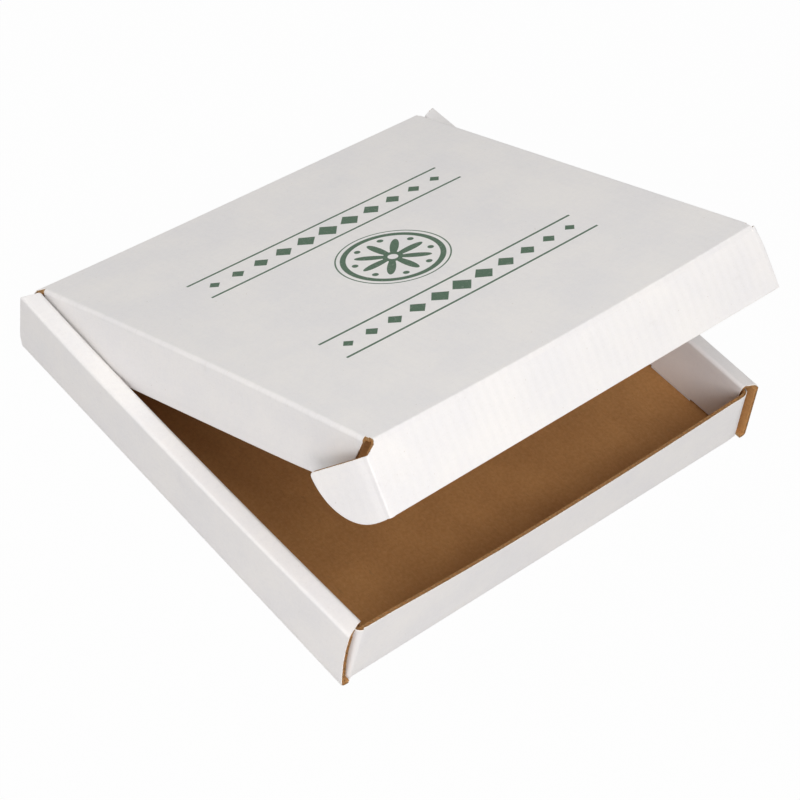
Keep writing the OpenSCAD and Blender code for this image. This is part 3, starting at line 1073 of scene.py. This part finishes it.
def flap_drop(x, s):
    """How far the flap hangs lower at its left end than at its right. Its right end is drawn in under the crease
    and spreads below."""
    below = max(0.0, s - flap_reach)
    share = below / flap_end
    spread = (flap_spread_right * share - flap_tuck_right * max(0.0, 1 - below / 14)) * max(0.0, x / ear_crease_x) ** 3
    return Vector((spread, 0, 0)) - flap_drop_left * (0.5 - x / (2 * ear_crease_x)) * share * flap_up


def flap_bend(x, s):
    """How far the flap is bent out of flat at a place: it follows the crease above and is straight below."""
    below = max(0.0, s - flap_reach)
    bend = crease_shape(x) * max(0.0, 1 - below / (flap_end - flap_reach)) ** 1.3
    return bend + crease_draw(x) * max(0.0, 1 - below / 12) ** 2 + flap_drop(x, s)


def flap_place(s, v, depth):
    point = flap_fold.at(s, depth)
    return crease_axis - point.x * flap_up + point.y * flap_out + Vector((v, 0, 0)) + flap_bend(v, point.x)


full_width_s = flap_cut_start + flap_cut_slope * (ear_crease_x - flap_reach - crease_half)
flap_fold = Fold([(flap_reach, half_board), (flap_end, half_board)], -1)
flap_stations = [0, (full_width_s - flap_reach) / 2, full_width_s - flap_reach]
flap_stations += [flap_stations[-1] + (flap_fold.length - flap_stations[-1]) * share for share in shares(8)[1:]]
flap_joins = ("first", ("start", full_width_s - flap_reach, 99), "end")
flap_panel = Sheet(
    flap_fold, lambda s: flap_left(s + flap_reach), lambda s: flap_right(0), flap_place,
    stations=flap_stations, rows=shares(40), joined=flap_joins, origin=(300, 0),
)
front_flap = add_piece("front_flap_panel", [flap_panel.mesh], "front_flap")
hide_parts("front_flap")
Crease(
    crease_axis, Vector((1, 0, 0)), (lid_out, flap_out), (lid_along, -flap_up), (hinge_reach, flap_reach), half_board,
    flap_left, flap_right, origin=(290, 0),
).add("front_flap_crease", "lid", "front_flap", lambda v: crease_shape(v) + crease_draw(v))

# Ears
# Rounded wings at both ends of the front flap. They fold back and slide in between the lid's side flaps
# and the inner walls when the box is shut.
ear_fold = math.radians(76)
ear_spring = 1.0
ear_length = 40.9
ear_slope = math.tan(math.radians(5.2))
ear_corner_r = 27.5
ear_tip_r = 1.5
ear_droop = 1.6
ear_corner = Vector((ear_length - ear_corner_r, flap_end - ear_corner_r))
ear_tip = Vector((ear_length - ear_tip_r, ear_crease_top[-1] + ear_length * ear_slope + ear_tip_r))


def ear_upper(u, top):
    """Height down the flap at which the ear's upper edge lies, that far out from its crease."""
    slant = ear_crease_top[-1] + u * ear_slope - (ear_crease_top[-1] - top) * max(0.0, 1 - (u - flap_reach) / 5)
    return slant if u <= ear_tip.x else max(slant, ear_tip.y - math.sqrt(max(0.0, ear_tip_r ** 2 - (u - ear_tip.x) ** 2)))


def ear_lower(u):
    """Height down the flap at which its lower edge lies: it drops away from the crease, then rounds off upwards."""
    if u <= ear_corner.x:
        return flap_end + ear_droop * math.sin(math.pi / 2 * u / ear_corner.x)
    return ear_corner.y + (ear_corner_r + ear_droop) * math.sqrt(max(0.0, 1 - ((u - ear_corner.x) / ear_corner_r) ** 2))


def add_ear(side, joint, body):
    origin = 1000 * Vector(joint["pos_m"])
    sideways = Vector((side, 0, 0))
    run = math.cos(ear_fold) * sideways - math.sin(ear_fold) * flap_out
    out = math.sin(ear_fold) * sideways + math.cos(ear_fold) * flap_out

    def place(s, v, depth):
        point = fold.at(s, depth)
        spring = ear_spring * (1 - math.exp(-(point.x - flap_reach) / 5)) * (1 - point.x / ear_length)
        return origin + point.x * run + (point.y + spring) * out - v * flap_up + flap_bend(origin.x, v)

    top = ear_crease_top[side]
    fold = Fold([(flap_reach, half_board), (ear_length, half_board)], -1)
    curve = [ear_corner.x + ear_corner_r * math.sin(math.pi / 2 * share) for share in shares(26)]
    stations = [u - flap_reach for u in [flap_reach, 4.5, 7.0, 9.5, 11.5] + curve]
    sheet = Sheet(
        fold, lambda s: ear_upper(s + flap_reach, top), lambda s: ear_lower(s + flap_reach), place, across="s",
        stations=stations, rows=shares(12), joined=("first",), origin=(side * 150, 40),
    )
    ear = add_piece(body + "_panel", [sheet.mesh], body)
    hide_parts(body)
    def crease_upper(t):
        """Height down the flap at which the crease starts, on the ear's side where t is above 0."""
        if t > 0:
            return ear_upper(flap_reach, top) + (t - flap_reach) * ear_slope
        return top + t * flap_cut_slope * (side < 0)

    Crease(
        origin, -flap_up, (flap_out, out), (sideways, run), (flap_reach, flap_reach), half_board, crease_upper, steady(flap_end),
        rows=10, across="s", origin=(side * 150, 40),
    ).add(body + "_crease", "front_flap", body, lambda v: flap_bend(origin.x, v))


add_ear(-1, left_ear, "ear_left")
add_ear(1, right_ear, "ear_right")

# Side flaps of the lid
# They hang from the lid's long creases, leaning slightly inward, and slide down inside the side walls.
# Their front ends are cut back at a slant to leave room for the ears.
side_flap_lean = math.radians(2)
side_flap_start = 0.3
side_flap_end = 36.4
side_flap_back = 2.3
side_flap_front = lid_length - 4.4
side_flap_slant = 19.0
side_flap_back_slant = 1.36
side_flap_spring = 4.8
side_flap_free = 230


def add_side_flap(side, joint, body):
    origin = 1000 * Vector(joint["pos_m"])
    sideways = Vector((side, 0, 0))
    out = math.cos(side_flap_lean) * sideways - math.sin(side_flap_lean) * lid_out
    down = -math.cos(side_flap_lean) * lid_out - math.sin(side_flap_lean) * sideways

    def place(s, v, depth):
        point = fold.at(s, depth)
        fade = max(0.0, 1 - point.x / side_flap_end)
        splay_fade = max(0.0, 1 - point.x / 5) if side > 0 else 1
        spring = side_flap_spring * min(1.0, max(0.0, (point.x - side_flap_start) / 28)) * max(0.0, 1 - v / side_flap_free) ** 0.6
        spring *= min(1.0, 0.35 + v / 90)
        flat = origin + point.x * down + (point.y + spring) * out + v * lid_along
        return flat + lid_bend(side * side_crease_x, v) * fade + lid_splay(side * side_crease_x, v) * splay_fade

    fold = Fold([(side_flap_start, board), (side_flap_end, board)], -1)
    back = through((0, side_flap_back), (fold.length, side_flap_back + side_flap_back_slant))
    front = through((0, side_flap_front), (13.5, side_flap_front - 9.0), (fold.length, side_flap_front - side_flap_slant))
    sheet = Sheet(
        fold, back, front, place, across="s", stations=fold.stations(4.0), rows=shares(40), joined=("first",),
        origin=(side * 150, 0),
    )
    flap = add_piece(body + "_panel", [sheet.mesh], body)
    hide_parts(body)
    Crease(
        origin, lid_along, (lid_out, out), (sideways, down), (0.0, side_flap_start), board,
        steady(side_flap_back), steady(side_flap_front), rows=32, across="s", origin=(side * 150, 0),
    ).add(body + "_crease", "lid", body, lambda v: lid_bend(side * side_crease_x, v) + lid_splay(side * side_crease_x, v))


add_side_flap(-1, left_side, "side_flap_left")
add_side_flap(1, right_side, "side_flap_right")
